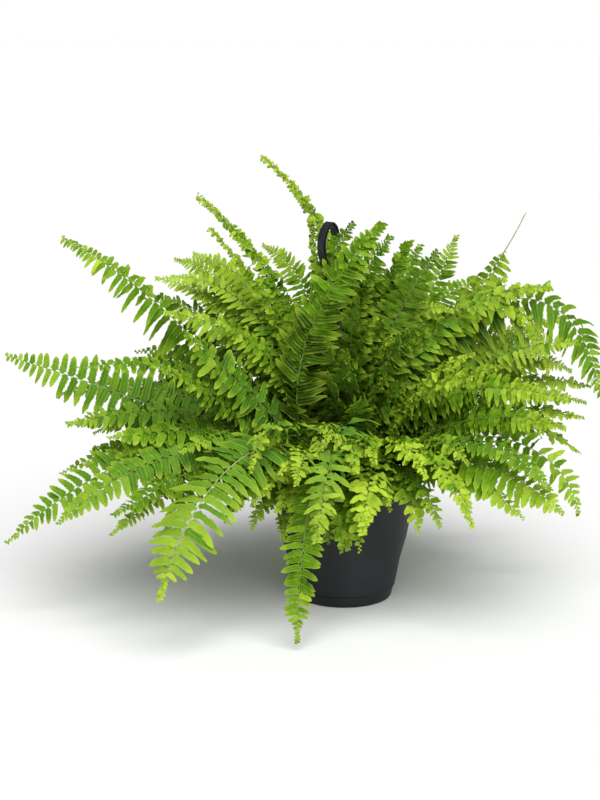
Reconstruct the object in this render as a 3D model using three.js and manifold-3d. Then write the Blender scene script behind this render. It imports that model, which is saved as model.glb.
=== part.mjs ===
// A Boston-type sword fern in a hanging pot, standing on the pot's drip saucer.
// Millimetres, +Z up. The origin is on the pot's axis, in the plane of the saucer's underside.
import * as THREE from 'three';
import { mergeVertices } from 'three/addons/utils/BufferGeometryUtils.js';
import Module from 'manifold-3d';

const wasm = await Module();
wasm.setup();

// ---- Driving dimensions ----------------------------------------------------------------------

const GAP = 0.3;                    // left between pieces that touch
const AROUND = 48;                  // sides of the round pieces

const POT = {
  height: 170,                      // top of the lip above the surface
  rim_radius: 105,                  // outside of the lip
  lip_height: 8,
  lip_stand: 1.6,                   // how far the lip stands out from the wall
  shoulder_height: 91,              // where the wall starts its long straight taper
  shoulder_radius: 90.4,
  waist_height: 56,
  waist_radius: 81,
  skirt_radius: 73.8,               // lower edge of the wall, over the saucer
  foot_inset: 7.8,                  // how far the pot's own foot stands inside that edge
  wall: 2,
  drain_radius: 4.5,
  drain_ring: 46,                   // distance of the outer drain holes from the axis
  drain_count: 6,
};

const SAUCER = {
  height: 16,
  wall: 1.6,
  floor: 2.2,
  play: 1.4,                        // space round the pot's foot
  under_skirt: 1.8,                 // how far its edge stands inside the wall over it
  edge: 2.4,                        // rounding of its lower edge
  fillet: 1,                        // inside, between its floor and side
};

const SOIL = {
  below_lip: 20,                    // from the top of the lip down to the soil
  mound: 4,                         // how much higher the soil is in the middle
};

const CROWN = {
  radius: 58,                       // clump of root stocks on the soil
  height: 14,
  inner_share: 0.12,                // upright fronds start at this share of the radius
  outer_share: 0.92,                // and none starts further out than this one
  spread: 1.05,                     // how fast the start moves out as a frond leans more
  full_lean: 60,                    // degrees off upright that count as a whole lean
};

const HANGER = {
  lean: 22,                         // the slack hanger leans this far off the pot's axis, to -X
  hub_height: 449,                  // top of the hub above the surface
  hub_radius: 8,
  hub_length: 15,
  hook_turn: 45,                    // degrees between the hook's plane and the X axis
  shank: 20,                        // straight part of the hook above the hub
  bow_half: 15.6,                   // middle line's greatest distance from the shank's line
  bow_widest: 56,                   // height of the widest place above the hub's top
  hook_height: 85,                  // middle line's top above the hub's top
  strip_width: 11,                  // across the hook's plane
  strip_depth: 6.4,                 // in the hook's plane
  groove_depth: 2,                  // in each side face of the strip
  groove_width: 2.6,
  arm_width: 4.2,
  arm_depth: 2.6,
  arm_bearings: [-70, 50, 170],     // degrees, where the arms reach the rim
  arm_inset: 4.5,                   // middle line of an arm inside the middle of the wall
  arm_upright: 24,                  // length of an arm's steep end over its slot
  arm_bend: 3,                      // size of the bends at an arm's two ends
  arm_barb: 0.7,                    // how far its barb stands out, over and under
  clip_drop: 15,                    // middle of the slots below the top of the lip
  clip_reach: 3.8,                  // length of an arm's barb, outside the wall
  slot_run: 12,                     // length of the cut that makes a slot
  slot_clearance: 0.5,
};

const FROND = {
  stations: 11,                     // cross-sections between a frond's two ends
  stem: 3.6,                        // width of the bare stalk
  thickness: 2.8,                   // of the leafy part, at its middle rib
  stem_share: 0.16,                 // share of the length that carries no leaflets
  widest: 0.45,                     // share of the length where the leafy part is widest
  tip_taper: 0.9,                   // share of the greatest width lost by the tip
  lowest_tip: 10,                   // no tip hangs closer to the surface than this
  air: 0.4,                         // least space between a frond and anything else
};

// What a frond may change to be clear of what already stands, and the changes that count as whole.
const ROOM = {
  widths: [1, 0.85, 0.7, 0.55, 0.42, 0.3, 0.2],       // share of its width
  lifts: [0, 7, -7, 14, -14, 21, -21, 30],            // of its tip
  turns: [0, 2.5, -2.5, 5, -5, 8, -8, 12, -12],       // degrees about the pot's axis
  shifts: [0, 5, -5, 10],                             // of its base, outwards
  whole_lift: 30,
  whole_turn: 12,
  whole_shift: 40,
};

// One row for each frond, the ones with the least freedom first:
// bearing of the tip (degrees from +X, 90 is +Y), distance of the tip outside the rim, height of the
// tip over the soil, launch bearing less the tip's, launch pitch, pitch at the tip, bearing of the
// last stretch less the tip's, arch (1 bends as a circle does), greatest width, roll about its rib.
const FRONDS = [
  // the long ones over the front of the rim
  [-128, 274, -62, 0, 58, -68, 0, 1.1, 88, -20],
  [-104, 143, -139, 0, 62, -88, 0, 1.2, 60, 0],
  [-98, 147, 0, 24, 80, -66, -8, 1.25, 76, 0],
  // upright ones in the middle
  [-50, -27, 393, -95, 58, 46, 60, 1.1, 74, 120],
  [130, 90, 467, -60, 88, 38, 56, 1.1, 46, -30],
  [110, 45, 388, 0, 86, 84, 0, 1, 34, -20],
  [-22, 30, 353, 0, 84, 52, 0, 1, 70, -60],
  [25, 70, 360, 0, 80, 66, 0, 1, 66, 50],
  [15, 160, 395, 0, 74, 64, 0, 1, 60, 40],
  [167, 117, 416, 0, 86, 36, 0, 1, 42, -50],
  [-172, 85, 382, 0, 82, 46, 0, 1, 36, -50],
  [122, 131, 330, 0, 80, 16, 20, 1, 60, -50],
  [148, 195, 313, 0, 74, 8, 10, 1, 64, -60],
  // to the left
  [178, 293, 363, 0, 54, 28, 0, 1, 60, -60],
  [-152, 140, 252, 0, 62, 44, 0, 1, 70, -60],
  [-175, 370, 205, 0, 36, 18, 0, 1, 86, -60],
  [170, 228, 165, 0, 62, -18, 0, 1, 60, -50],
  [-150, 190, 213, 0, 48, 24, 0, 1, 50, -40],
  [-165, 376, -44, 0, 54, -42, 0, 1, 70, -50],
  [-152, 324, 7, 0, 48, -40, 0, 1, 70, -40],
  [-148, 260, -10, 0, 36, -38, 0, 1, 50, -30],
  [-138, 220, 6, 0, 34, -66, 0, 1, 50, -20],
  [170, 280, 60, 0, 48, -32, 0, 1, 70, -40],
  // shorter ones at the front
  [-86, 105, 0, 34, 62, -76, -30, 1.1, 50, 0],
  [-117, 130, 74, 10, 48, -40, 0, 1, 46, -10],
  [-124, 130, 72, 0, 66, -76, 0, 1, 40, 0],
  [-112, 120, 50, 26, 56, -36, -20, 1, 40, 0],
  [-130, 140, 6, 0, 40, -62, 0, 1, 46, 0],
  [-91, 70, -36, 0, 48, -84, 0, 1, 40, 0],
  [-84, 96, -26, 0, 52, -80, 0, 1, 40, 0],
  [-64, 119, 74, 0, 66, -50, 0, 1, 44, 0],
  // to the right
  [-66, 100, -8, 0, 50, -82, 0, 1, 46, 0],
  [-57, 128, 4, 0, 54, -66, 0, 1, 50, 0],
  [-60, 184, 18, 0, 62, -64, 0, 1, 54, 10],
  [-50, 210, 24, 0, 46, -34, 0, 1, 60, 20],
  [-38, 255, 34, 0, 46, -34, 0, 1, 66, 30],
  [-20, 235, 0, 0, 54, -78, 0, 1, 60, 40],
  [-30, 230, 134, 0, 56, -14, 0, 1, 56, 40],
  [-25, 220, 165, 0, 68, -14, 0, 1.1, 56, 50],
  [-5, 252, 148, 0, 74, -78, 0, 1.35, 84, 50],
  [-12, 180, 184, 0, 74, -80, 0, 1.25, 60, 40],
  [-41, 121, 230, 0, 66, 20, 0, 1, 40, 50],
  [-50, 133, 202, 0, 58, 6, 0, 1, 56, 40],
  // to the back
  [12, 250, 40, 0, 56, -40, 0, 1, 66, 20],
  [30, 240, 130, 0, 62, -30, 0, 1, 70, 10],
  [45, 280, -20, 0, 52, -56, 0, 1, 66, 0],
  [60, 190, 200, 0, 72, 0, 0, 1, 64, 0],
  [70, 260, 20, 0, 56, -50, 0, 1, 70, 0],
  [85, 230, 110, 0, 66, -24, 0, 1, 70, 0],
  [98, 270, -40, 0, 54, -60, 0, 1, 70, 0],
  [112, 240, 60, 0, 62, -40, 0, 1, 66, 0],
  [130, 270, 0, 0, 52, -52, 0, 1, 66, 0],
];

// ---- Colours and finishes --------------------------------------------------------------------

const FINISH = {
  pot_plastic: { color: 0x34373a, roughness: 0.55, metalness: 0 },
  hanger_plastic: { color: 0x24262a, roughness: 0.45, metalness: 0 },
  potting_mix: { color: 0x2b1d13, roughness: 0.95, metalness: 0 },
  root_fibre: { color: 0x4a3320, roughness: 0.9, metalness: 0 },
  leaf: { color: 0x6a9f2d, roughness: 0.5, metalness: 0 },
};

// ---- Small helpers ---------------------------------------------------------------------------

const radians = THREE.MathUtils.degToRad;
const AXIS_Z = new THREE.Vector3(0, 0, 1);

function namedMesh(name, geometry, finish) {
  const mesh = new THREE.Mesh(geometry, new THREE.MeshStandardMaterial(FINISH[finish]));
  mesh.name = name;
  return mesh;
}

function solidOf(geometry) {
  const bare = geometry.clone();
  bare.deleteAttribute('normal');
  bare.deleteAttribute('uv');
  const merged = mergeVertices(bare, 1e-4);
  return new wasm.Manifold(new wasm.Mesh({
    numProp: 3,
    vertProperties: new Float32Array(merged.attributes.position.array),
    triVerts: new Uint32Array(merged.index.array),
  }));
}

function geometryOf(solid) {
  const mesh = solid.getMesh();
  const geometry = new THREE.BufferGeometry();
  geometry.setAttribute('position', new THREE.BufferAttribute(new Float32Array(mesh.vertProperties), 3));
  geometry.setIndex(new THREE.BufferAttribute(new Uint32Array(mesh.triVerts), 1));
  return geometry;
}

// A solid of revolution about Z from [radius, height] points that run upwards on the outside.
function turned(points) {
  const profile = points.map(([radius, height]) => new THREE.Vector2(radius, height));
  const geometry = new THREE.LatheGeometry(profile, AROUND);
  geometry.rotateX(Math.PI / 2);
  return geometry;
}

// Points of an arc from one direction to another, both in degrees.
function arcPoints(centreX, centreY, radius, from, to, steps) {
  const points = [];
  for (let i = 0; i <= steps; i += 1) {
    const angle = radians(from + ((to - from) * i) / steps);
    points.push([centreX + radius * Math.cos(angle), centreY + radius * Math.sin(angle)]);
  }
  return points;
}

function direction(bearing, pitch) {
  const flat = Math.cos(radians(pitch));
  return new THREE.Vector3(
    flat * Math.cos(radians(bearing)),
    flat * Math.sin(radians(bearing)),
    Math.sin(radians(pitch)),
  );
}

// A rectangle of four corners round a centre.
function boxRing(centre, across, up, halfWidth, halfHeight) {
  return [[1, 1], [-1, 1], [-1, -1], [1, -1]].map(([x, y]) => (
    centre.clone().addScaledVector(across, x * halfWidth).addScaledVector(up, y * halfHeight)));
}

// A diamond of four corners round a centre.
function diamondRing(centre, across, up, halfWidth, halfHeight) {
  return [[1, 0], [0, 1], [-1, 0], [0, -1]].map(([x, y]) => (
    centre.clone().addScaledVector(across, x * halfWidth).addScaledVector(up, y * halfHeight)));
}

// A closed skin from a point, over rings of as many corners each, to a point. Its diagonals lean to
// alternate sides, so that both faces of a thin twisted blade fold along the same lines.
function loft(first, rings, last) {
  const sides = rings[0].length;
  const points = [first, ...rings.flat(), last];
  const corner = (ring, k) => 1 + sides * ring + (k % sides);
  const index = [];
  for (let k = 0; k < sides; k += 1) {
    index.push(0, corner(0, k + 1), corner(0, k));
    for (let ring = 0; ring < rings.length - 1; ring += 1) {
      const [near, nearNext] = [corner(ring, k), corner(ring, k + 1)];
      const [far, farNext] = [corner(ring + 1, k), corner(ring + 1, k + 1)];
      if (k % 2 === 0) {
        index.push(near, nearNext, farNext, near, farNext, far);
      } else {
        index.push(near, nearNext, far, nearNext, farNext, far);
      }
    }
    index.push(points.length - 1, corner(rings.length - 1, k), corner(rings.length - 1, k + 1));
  }
  const geometry = new THREE.BufferGeometry().setFromPoints(points);
  geometry.setIndex(index);
  return geometry;
}

// ---- Pot, saucer and soil --------------------------------------------------------------------

const POT_FLOOR = SAUCER.floor + GAP;                          // underside of the pot's floor
const FOOT_RADIUS = POT.skirt_radius - POT.foot_inset;         // outside of the foot, in the saucer
const SKIRT_HEIGHT = SAUCER.height + 1;                        // lower edge of the wall
const LIP_BOTTOM = POT.height - POT.lip_height;
const WALL_TOP_RADIUS = POT.rim_radius - POT.lip_stand;        // outside of the wall, at the lip
const SOIL_TOP = POT.height - SOIL.below_lip;                  // at the wall

// The pot's outside below the lip, from the foot up, as [radius, height].
const POT_OUTSIDE = [
  [FOOT_RADIUS, POT_FLOOR],
  [FOOT_RADIUS, SKIRT_HEIGHT],
  [POT.skirt_radius, SKIRT_HEIGHT],
  [POT.waist_radius, POT.waist_height],
  [POT.shoulder_radius, POT.shoulder_height],
  [WALL_TOP_RADIUS, LIP_BOTTOM],
];

// The pot's inside, from the floor up, as [radius, height].
const POT_INSIDE = [
  [FOOT_RADIUS - POT.wall, POT_FLOOR + POT.wall],
  [FOOT_RADIUS - POT.wall, SKIRT_HEIGHT + POT.wall],
  [POT.skirt_radius - POT.wall, SKIRT_HEIGHT + POT.wall],
  [POT.waist_radius - POT.wall, POT.waist_height],
  [POT.shoulder_radius - POT.wall, POT.shoulder_height],
  [WALL_TOP_RADIUS - POT.wall, LIP_BOTTOM],
];

// How much the upper wall moves out for each millimetre of height.
function wallLean() {
  const [lower, upper] = POT_INSIDE.slice(-2);
  return (upper[0] - lower[0]) / (upper[1] - lower[1]);
}

function insideRadiusAt(height) {
  const [top, topHeight] = POT_INSIDE[POT_INSIDE.length - 1];
  return top - wallLean() * (topHeight - height);
}

function potBody(arms) {
  const lipRound = 1.5;
  const lip = [
    [POT.rim_radius, LIP_BOTTOM],
    ...arcPoints(POT.rim_radius - lipRound, POT.height - lipRound, lipRound, 0, 90, 4),
    [WALL_TOP_RADIUS - POT.wall, POT.height],
  ];
  const profile = [[0, POT_FLOOR], ...POT_OUTSIDE, ...lip, ...POT_INSIDE.slice().reverse()];
  profile.push([0, POT_FLOOR + POT.wall]);
  let solid = solidOf(turned(profile));
  solid = solid.subtract(drainHole(0, 0));
  for (let i = 0; i < POT.drain_count; i += 1) {
    const bearing = radians((360 * i) / POT.drain_count);
    const hole = drainHole(POT.drain_ring * Math.cos(bearing), POT.drain_ring * Math.sin(bearing));
    solid = solid.subtract(hole);
  }
  for (const arm of arms) {
    solid = solid.subtract(solidOf(arm.slot));
  }
  return geometryOf(solid);
}

function drainHole(x, y) {
  const geometry = new THREE.CylinderGeometry(POT.drain_radius, POT.drain_radius, 4 * POT.wall, 16);
  geometry.rotateX(Math.PI / 2);
  geometry.translate(x, y, POT_FLOOR + POT.wall / 2);
  return solidOf(geometry);
}

function saucerBody() {
  const insideFoot = FOOT_RADIUS + SAUCER.play;
  const outsideTop = POT.skirt_radius - SAUCER.under_skirt;
  const edgeCentre = insideFoot + SAUCER.wall - SAUCER.edge;
  return turned([
    [0, 0],
    ...arcPoints(edgeCentre, SAUCER.edge, SAUCER.edge, -90, -10, 4),
    [outsideTop, SAUCER.height],
    [outsideTop - SAUCER.wall, SAUCER.height],
    [insideFoot, SAUCER.floor + SAUCER.fillet],
    [insideFoot - SAUCER.fillet, SAUCER.floor],
    [0, SAUCER.floor],
  ]);
}

function soilHeight(radius) {
  const share = Math.min(radius / insideRadiusAt(SOIL_TOP), 1);
  return SOIL_TOP + SOIL.mound * (1 - share * share);
}

function soilBody() {
  const steps = 6;
  const topRadius = insideRadiusAt(SOIL_TOP) - GAP;
  const buried = POT_INSIDE.slice(1, -1).map(([radius, height]) => [radius - GAP, height + GAP]);
  const surface = [];
  for (let i = 0; i < steps; i += 1) {
    const radius = topRadius * (1 - i / steps);
    surface.push([radius, soilHeight(radius)]);
  }
  const bottom = POT_FLOOR + POT.wall + GAP;
  return turned([
    [0, bottom],
    [FOOT_RADIUS - POT.wall - GAP, bottom],
    ...buried,
    ...surface,
    [0, soilHeight(0)],
  ]);
}

// ---- Root crown ------------------------------------------------------------------------------

function crownHeight(radius) {
  const share = Math.min(radius / CROWN.radius, 1);
  return soilHeight(radius) + GAP + CROWN.height * Math.sqrt(1 - share * share);
}

function crownBody() {
  const steps = 8;
  const under = [];
  const over = [];
  for (let i = 0; i <= steps; i += 1) {
    const radius = CROWN.radius * Math.sin((Math.PI / 2) * (i / steps));
    under.push([radius, soilHeight(radius) + GAP]);
    over.push([radius, crownHeight(radius)]);
  }
  over.pop();
  return turned([...under, ...over.reverse()]);
}

// ---- Hanger ----------------------------------------------------------------------------------

const HUB = new THREE.Vector3(-HANGER.lean, 0, HANGER.hub_height);

// The strip's section: x across the hook's plane, y in it, with a groove in each side face.
function stripSection() {
  const halfWidth = HANGER.strip_width / 2;
  const halfDepth = HANGER.strip_depth / 2;
  const web = halfWidth - HANGER.groove_depth;
  const groove = HANGER.groove_width / 2;
  return new THREE.Shape([
    new THREE.Vector2(-halfWidth, -halfDepth),
    new THREE.Vector2(halfWidth, -halfDepth),
    new THREE.Vector2(halfWidth, -groove),
    new THREE.Vector2(web, -groove),
    new THREE.Vector2(web, groove),
    new THREE.Vector2(halfWidth, groove),
    new THREE.Vector2(halfWidth, halfDepth),
    new THREE.Vector2(-halfWidth, halfDepth),
    new THREE.Vector2(-halfWidth, groove),
    new THREE.Vector2(-web, groove),
    new THREE.Vector2(-web, -groove),
    new THREE.Vector2(-halfWidth, -groove),
  ]);
}

// The hook's middle line, in its own plane, with the hub's top at the origin: a short shank, a bend
// out to the widest place, a pointed bow over the top, and down to the open end.
function hookLine() {
  const { bow_half: half, bow_widest: widest, hook_height: top, shank } = HANGER;
  const rise = widest - shank;
  const crest = top - widest;
  const points = [
    [0, -HANGER.hub_length / 2],
    [0, shank * 0.5],
    [-half * 0.06, shank],
    [-half * 0.5, shank + rise * 0.22],
    [-half * 0.87, shank + rise * 0.61],
    [-half, widest],
    [-half * 0.84, widest + crest * 0.45],
    [-half * 0.45, widest + crest * 0.84],
    [0, top],
    [half * 0.45, widest + crest * 0.83],
    [half * 0.7, widest + crest * 0.52],
    [half * 0.85, widest + crest * 0.21],
  ];
  return new THREE.CatmullRomCurve3(points.map(([x, y]) => new THREE.Vector3(x, y, 0)), false, 'centripetal');
}

function hookBody() {
  const strip = new THREE.ExtrudeGeometry(stripSection(), {
    steps: 36,
    extrudePath: hookLine(),
    bevelEnabled: false,
  });
  strip.rotateX(Math.PI / 2);
  strip.rotateZ(radians(HANGER.hook_turn));
  const round = 2;
  const hub = new THREE.LatheGeometry([
    [0, -HANGER.hub_length],
    ...arcPoints(HANGER.hub_radius - round, round - HANGER.hub_length, round, -90, 0, 3),
    ...arcPoints(HANGER.hub_radius - round, -round, round, 0, 90, 3),
    [0, 0],
  ].map(([radius, height]) => new THREE.Vector2(radius, height)), 24);
  hub.rotateX(Math.PI / 2);
  const joined = geometryOf(solidOf(strip).add(solidOf(hub)));
  joined.translate(HUB.x, HUB.y, HUB.z);
  return joined;
}

// One arm: from the hub's side straight down to the rim, round a bend, and out through its slot to a
// barb. Also the slot that the pot's wall has for it.
function arm(bearing) {
  const clipHeight = POT.height - HANGER.clip_drop;
  const wallRadius = insideRadiusAt(clipHeight) + POT.wall / 2;
  const clip = direction(bearing, 0).multiplyScalar(wallRadius).setZ(clipHeight);
  const outward = clip.clone().sub(HUB).setZ(0);
  const wallAt = outward.length();
  outward.normalize();
  const across = outward.clone().cross(AXIS_Z);
  const start = HANGER.hub_radius + GAP;
  const hubLevel = HANGER.hub_height - HANGER.hub_length / 2;
  const foot = wallAt - HANGER.arm_inset;
  const bend = HANGER.arm_bend;
  const barbRise = (HANGER.arm_depth / 2 + HANGER.arm_barb) * wallLean();
  const beyond = wallAt + POT.wall / 2 + HANGER.slot_clearance + barbRise;
  const route = [
    [start, hubLevel, 0],
    [start + bend / 2, hubLevel, 0],
    [start + bend, hubLevel - bend / 2, 0],
    [foot, clipHeight + HANGER.arm_upright, 0],
    [foot, clipHeight + bend, 0],
    [foot + bend * 0.3, clipHeight + bend * 0.3, 0],
    [foot + bend, clipHeight, 0],
    [beyond, clipHeight, 0],
    [beyond + 0.1, clipHeight, HANGER.arm_barb],
    [beyond + HANGER.clip_reach, clipHeight, -HANGER.arm_barb / 2],
  ];
  const place = ([distance, height]) => HUB.clone().addScaledVector(outward, distance).setZ(height);
  const rings = route.map((entry, i) => {
    const before = place(route[Math.max(i - 1, 0)]);
    const after = place(route[Math.min(i + 1, route.length - 1)]);
    const thick = after.sub(before).normalize().cross(across);
    return boxRing(place(entry), across, thick, HANGER.arm_width / 2, HANGER.arm_depth / 2 + entry[2]);
  });
  const slot = new THREE.BoxGeometry(
    HANGER.slot_run,
    HANGER.arm_width + 2 * HANGER.slot_clearance,
    HANGER.arm_depth + 2 * HANGER.slot_clearance,
  );
  slot.rotateZ(Math.atan2(outward.y, outward.x));
  slot.translate(clip.x, clip.y, clip.z);
  return { body: loft(place(route[0]), rings, place(route[route.length - 1])), slot };
}

// ---- Fronds ----------------------------------------------------------------------------------

// How far a cubic's inner points lie from its ends, as a share of the span, for it to bend as a
// circle does through this angle.
function arcCarry(angle) {
  return (2 / 3) * (Math.tan(angle / 4) / Math.sin(angle / 2));
}

// A frond's middle rib as a curve from the crown to its tip.
function ribCurve(row, nudge) {
  const [tipBearing, beyondRim, overSoil, launchTurn, launchPitch, tipPitch, tipTurn, arch] = row;
  const bearing = tipBearing + nudge.turn;
  const tip = direction(bearing, 0).multiplyScalar(POT.rim_radius + beyondRim);
  tip.z = Math.max(SOIL_TOP + overSoil + nudge.lift, FROND.lowest_tip);
  const lean = (90 - launchPitch) / CROWN.full_lean;
  const baseShare = Math.min(CROWN.inner_share + CROWN.spread * lean, CROWN.outer_share);
  const baseRadius = CROWN.radius * baseShare + nudge.shift;
  const launchBearing = bearing + launchTurn;
  const base = direction(launchBearing, 0).multiplyScalar(baseRadius);
  base.z = crownHeight(baseRadius) + FROND.air;
  const setOut = direction(launchBearing, launchPitch);
  const comeIn = direction(bearing + tipTurn, tipPitch);
  const carry = arch * arcCarry(setOut.angleTo(comeIn)) * base.distanceTo(tip);
  const leaving = base.clone().addScaledVector(setOut, carry);
  const arriving = tip.clone().addScaledVector(comeIn, -carry);
  return new THREE.CubicBezierCurve3(base, leaving, arriving, tip);
}

// Width of a frond at a share of its length, for a greatest width.
function frondWidth(share, greatest) {
  if (share <= FROND.stem_share) {
    return FROND.stem;
  }
  if (share <= FROND.widest) {
    const part = (share - FROND.stem_share) / (FROND.widest - FROND.stem_share);
    return FROND.stem + (greatest - FROND.stem) * Math.sin((Math.PI / 2) * part);
  }
  const part = (share - FROND.widest) / (1 - FROND.widest);
  return Math.max(greatest * (1 - part * part * FROND.tip_taper), FROND.stem);
}

// A closed loft along the rib: a point, a row of diamonds, a point.
function frondGeometry(row, nudge, fat) {
  const curve = ribCurve(row, nudge);
  const greatest = row[8] * nudge.width;
  const roll = row[9];
  const level = direction(row[0] + nudge.turn + 90, 0);
  const rings = [];
  for (let i = 1; i <= FROND.stations; i += 1) {
    const share = i / (FROND.stations + 1);
    const along = curve.getTangentAt(share);
    const turnIn = THREE.MathUtils.smoothstep(share, FROND.stem_share / 2, FROND.widest);
    const side = level.clone().addScaledVector(along, -level.dot(along)).normalize();
    side.applyAxisAngle(along, radians(roll * turnIn));
    const up = along.clone().cross(side);
    const halfWidth = frondWidth(share, greatest) / 2 + fat;
    rings.push(diamondRing(curve.getPointAt(share), side, up, halfWidth, FROND.thickness / 2 + fat));
  }
  return loft(curve.getPointAt(0), rings, curve.getPointAt(1));
}

// The small changes that a frond in the way of something can take, the least change first.
function nudges() {
  const list = [];
  for (const width of ROOM.widths) {
    for (const lift of ROOM.lifts) {
      for (const turn of ROOM.turns) {
        for (const shift of ROOM.shifts) {
          const change = 1 - width + Math.abs(lift) / ROOM.whole_lift
            + Math.abs(turn) / ROOM.whole_turn + Math.abs(shift) / ROOM.whole_shift;
          list.push({ width, lift, turn, shift, change });
        }
      }
    }
  }
  return list.sort((first, second) => first.change - second.change);
}

function boxesMeet(first, second) {
  return first.clone().expandByScalar(FROND.air).intersectsBox(second);
}

// Grows the fronds one after another, each clear of what is already there.
function growFronds(obstacles) {
  const taken = obstacles.map((geometry) => ({ solid: solidOf(geometry), box: boxOf(geometry) }));
  const changes = nudges();
  return FRONDS.map((row, i) => {
    for (const nudge of changes) {
      const geometry = frondGeometry(row, nudge, 0);
      const box = boxOf(geometry);
      const near = taken.filter((other) => boxesMeet(box, other.box));
      const roomy = solidOf(frondGeometry(row, nudge, FROND.air));
      if (near.every((other) => other.solid.intersect(roomy).isEmpty())) {
        taken.push({ solid: solidOf(geometry), box });
        return geometry;
      }
    }
    throw new Error(`no room for frond ${i + 1}`);
  });
}

function boxOf(geometry) {
  geometry.computeBoundingBox();
  return geometry.boundingBox.clone();
}

// ---- The whole plant -------------------------------------------------------------------------

const plant = new THREE.Group();
const arms = HANGER.arm_bearings.map(arm);
const firm = [
  ['pot', potBody(arms), 'pot_plastic'],
  ['saucer', saucerBody(), 'pot_plastic'],
  ['soil', soilBody(), 'potting_mix'],
  ['root_crown', crownBody(), 'root_fibre'],
  ['hanger_hook', hookBody(), 'hanger_plastic'],
  ...arms.map((piece, i) => [`hanger_arm_${i + 1}`, piece.body, 'hanger_plastic']),
];
for (const [name, geometry, finish] of firm) {
  plant.add(namedMesh(name, geometry, finish));
}
growFronds(firm.map((entry) => entry[1])).forEach((geometry, i) => {
  plant.add(namedMesh(`frond_${String(i + 1).padStart(2, '0')}`, geometry, 'leaf'));
});

export default plant;
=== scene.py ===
"""A sword fern in a dark hanging pot that stands on its saucer, on a pale studio floor."""

from math import cos, pi, radians, sin

import bmesh
import bpy
import numpy as np
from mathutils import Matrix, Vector


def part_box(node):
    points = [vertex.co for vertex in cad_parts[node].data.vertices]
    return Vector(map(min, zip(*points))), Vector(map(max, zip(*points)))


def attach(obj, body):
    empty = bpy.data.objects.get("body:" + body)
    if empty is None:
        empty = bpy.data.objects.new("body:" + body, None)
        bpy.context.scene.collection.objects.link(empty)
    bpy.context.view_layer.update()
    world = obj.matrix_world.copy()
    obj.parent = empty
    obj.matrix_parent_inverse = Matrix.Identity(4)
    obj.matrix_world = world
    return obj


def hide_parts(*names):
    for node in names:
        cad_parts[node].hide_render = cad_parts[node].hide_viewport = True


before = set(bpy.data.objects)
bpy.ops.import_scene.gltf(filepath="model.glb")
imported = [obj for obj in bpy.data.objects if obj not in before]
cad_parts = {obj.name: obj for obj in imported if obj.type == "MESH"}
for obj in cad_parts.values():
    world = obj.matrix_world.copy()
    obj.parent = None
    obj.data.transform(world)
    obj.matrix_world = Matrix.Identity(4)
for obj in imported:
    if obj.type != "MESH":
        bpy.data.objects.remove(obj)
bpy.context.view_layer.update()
MM = 0.001
SAME_SPOT = 0.01 * MM                # corners this near to each other are one
UP = np.array([0.0, 0.0, 1.0])


# ---------------------------------------------------------------- small sums

def unit(vectors):
    """Each row as a vector one long."""
    return vectors / np.maximum(np.linalg.norm(vectors, axis=-1, keepdims=True), 1e-12)


def ease(x):
    """A smooth step from 0 to 1."""
    x = np.clip(x, 0, 1)
    return x * x * (3 - 2 * x)


def across_of(vectors, axis):
    """What is left of each vector across the axis, one long."""
    return unit(vectors - np.sum(vectors * axis, axis=-1, keepdims=True) * axis)


def smooth_line(knots, values, wanted):
    """A smooth curve through values at the knots, read at the wanted places."""
    slopes = np.gradient(values, knots, axis=0)
    start = np.clip(np.searchsorted(knots, wanted, side="right") - 1, 0, len(knots) - 2)
    step = (knots[start + 1] - knots[start])[:, None]
    x = ((wanted - knots[start])[:, None]) / step
    return (values[start] * (1 + 2 * x) * (1 - x) ** 2 + slopes[start] * step * x * (1 - x) ** 2
            + values[start + 1] * x * x * (3 - 2 * x) + slopes[start + 1] * step * x * x * (x - 1))


# ---------------------------------------------------------------- meshes

def new_piece(name, points, faces, materials, replaces=()):
    """A mesh piece that rides on the part's one body."""
    mesh = bpy.data.meshes.new(name)
    mesh.from_pydata(points, [], faces)
    piece = bpy.data.objects.new(name, mesh)
    bpy.context.scene.collection.objects.link(piece)
    for material in materials:
        mesh.materials.append(material)
    mesh.shade_smooth()
    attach(piece, "root")
    if replaces:
        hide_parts(*replaces)
    return piece


def paint(piece, **layers):
    """Stores one number per vertex under each name, for the materials to read."""
    for name, numbers in layers.items():
        layer = piece.data.attributes.new(name, "FLOAT", "POINT")
        layer.data.foreach_set("value", np.asarray(numbers, np.float32))


# ---------------------------------------------------------------- materials

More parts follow.
